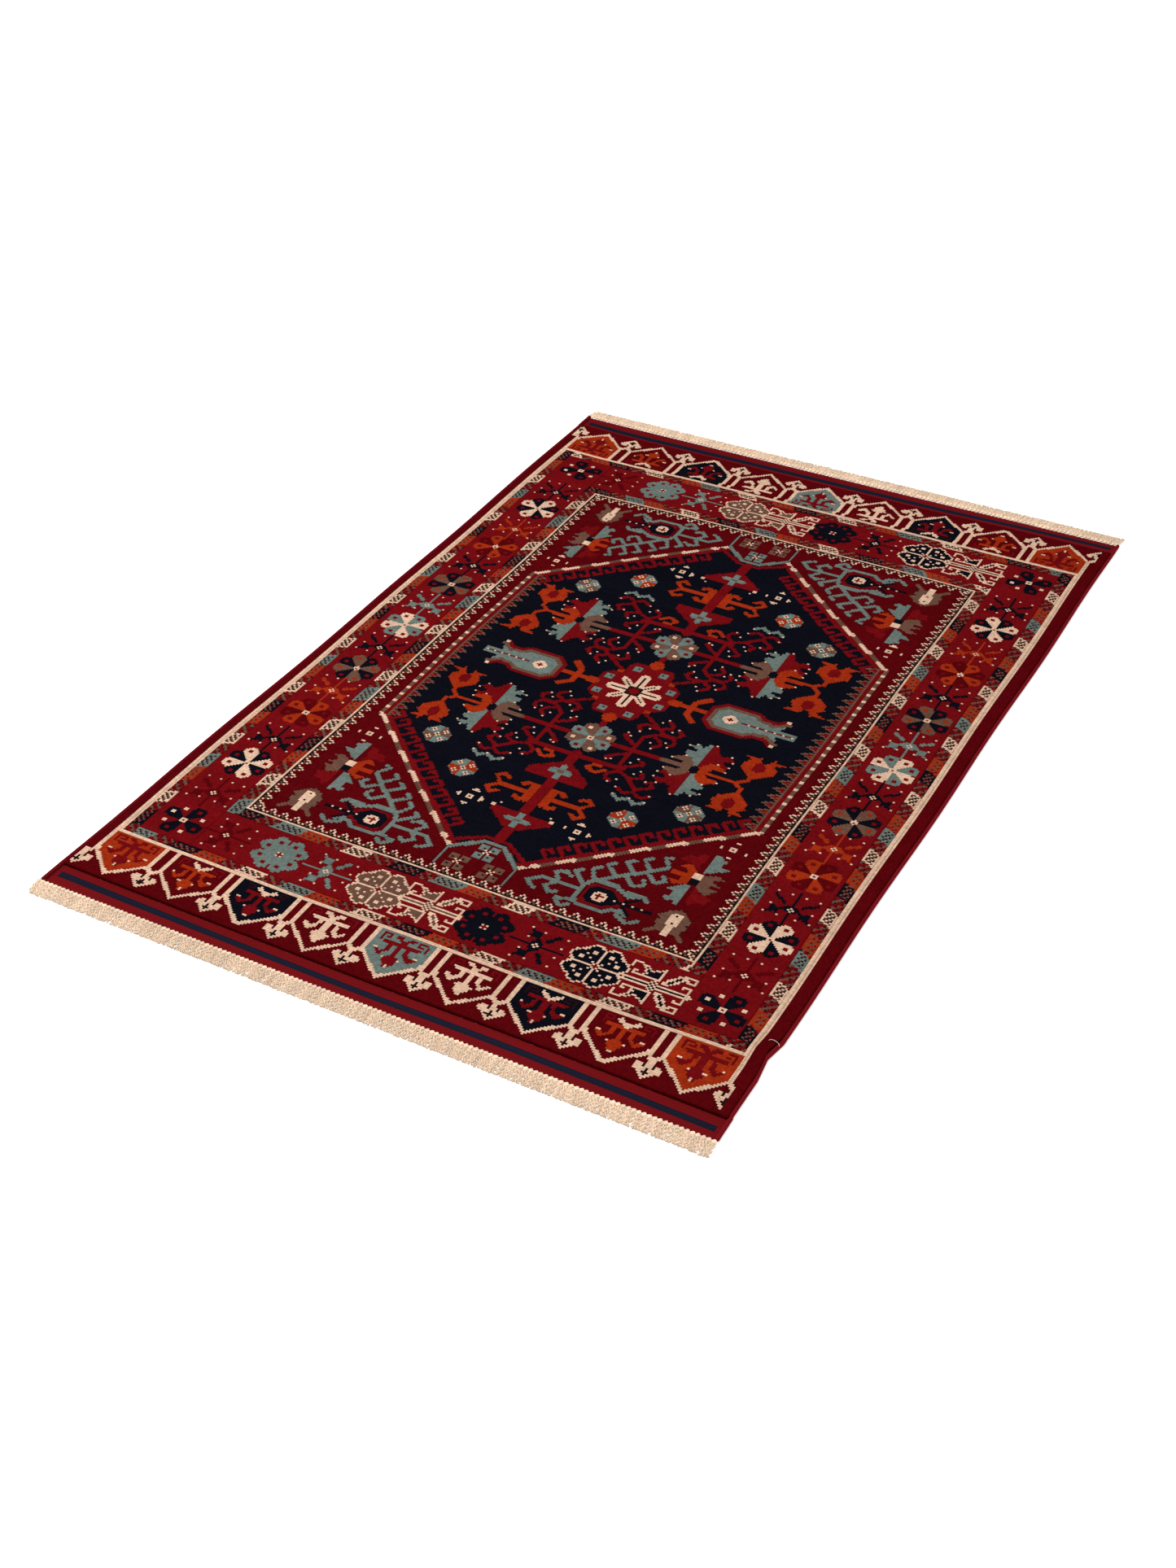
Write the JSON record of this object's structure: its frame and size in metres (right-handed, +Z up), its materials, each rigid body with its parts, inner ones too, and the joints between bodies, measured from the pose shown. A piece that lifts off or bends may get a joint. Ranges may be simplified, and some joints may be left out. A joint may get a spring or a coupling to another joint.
{
  "type": "area rug",
  "caption": "Rectangular hand-knotted wool pile rug with a long navy hexagon in a red field, bands of borders, flat-woven ends, wrapped side cords and a knotted cream fringe.",
  "frame": {"origin": "on the floor plane, under the middle of the rug's outer box (fringe included)", "axes": "+Z up out of the pile, +Y along the rug's length to its far fringe, +X across its width to the right side cord"},
  "size_m": [1.2, 1.893, 0.009],
  "materials": {
    "foundation_wool": "undyed hand-spun warps and wefts, plain weave",
    "pile_deep_red": "knotted wool pile, clipped short, soft matt sheen",
    "pile_crimson": "knotted wool pile, clipped short, soft matt sheen",
    "pile_navy": "knotted wool pile, clipped short, soft matt sheen",
    "pile_ivory": "knotted wool pile, clipped short, soft matt sheen",
    "pile_many_colours": "knotted wool pile in blocks of teal, navy, orange, ivory, camel and red",
    "kilim_brick_red": "weft-faced plain weave, dry and slightly ribbed",
    "kilim_navy": "weft-faced plain weave, dry and slightly ribbed",
    "selvedge_red": "wool wrapped closely round the edge warps",
    "fringe_cream": "undyed two-ply warp yarn, knotted and left loose"
  },
  "bodies": {
    "root": {"field_corner_far_left": "pile_deep_red", "field_corner_far_right": "pile_deep_red", "field_corner_near_left": "pile_deep_red", "field_corner_near_right": "pile_deep_red", "field_cup_far": "pile_deep_red", "field_cup_near": "pile_deep_red", "field_edge_left": "pile_crimson", "field_edge_right": "pile_crimson", "fringe_knots_far": "fringe_cream", "fringe_knots_near": "fringe_cream", "fringe_yarns_far": "fringe_cream", "fringe_yarns_near": "fringe_cream", "ground_left": "pile_deep_red", "ground_right": "pile_deep_red", "hexagon_far": "pile_navy", "hexagon_middle": "pile_navy", "hexagon_near": "pile_navy", "inner_guard_far": "pile_many_colours", "inner_guard_left": "pile_many_colours", "inner_guard_near": "pile_many_colours", "inner_guard_right": "pile_many_colours", "ivory_frame_far": "pile_ivory", "ivory_frame_left": "pile_ivory", "ivory_frame_near": "pile_ivory", "ivory_frame_right": "pile_ivory", "kilim_far_inner_red": "kilim_brick_red", "kilim_far_navy_stripe": "kilim_navy", "kilim_far_outer_red": "kilim_brick_red", "kilim_near_inner_red": "kilim_brick_red", "kilim_near_navy_stripe": "kilim_navy", "kilim_near_outer_red": "kilim_brick_red", "main_border_far": "pile_crimson", "main_border_left": "pile_crimson", "main_border_near": "pile_crimson", "main_border_right": "pile_crimson", "niche_band_far": "pile_deep_red", "niche_band_near": "pile_deep_red", "outer_guard_far": "pile_many_colours", "outer_guard_left": "pile_many_colours", "outer_guard_near": "pile_many_colours", "outer_guard_right": "pile_many_colours", "selvedge_left": "selvedge_red", "selvedge_right": "selvedge_red", "toothed_stripe_far": "pile_ivory", "toothed_stripe_left": "pile_ivory", "toothed_stripe_near": "pile_ivory", "toothed_stripe_right": "pile_ivory", "woven_foundation": "foundation_wool"}
  },
  "joints": []
}
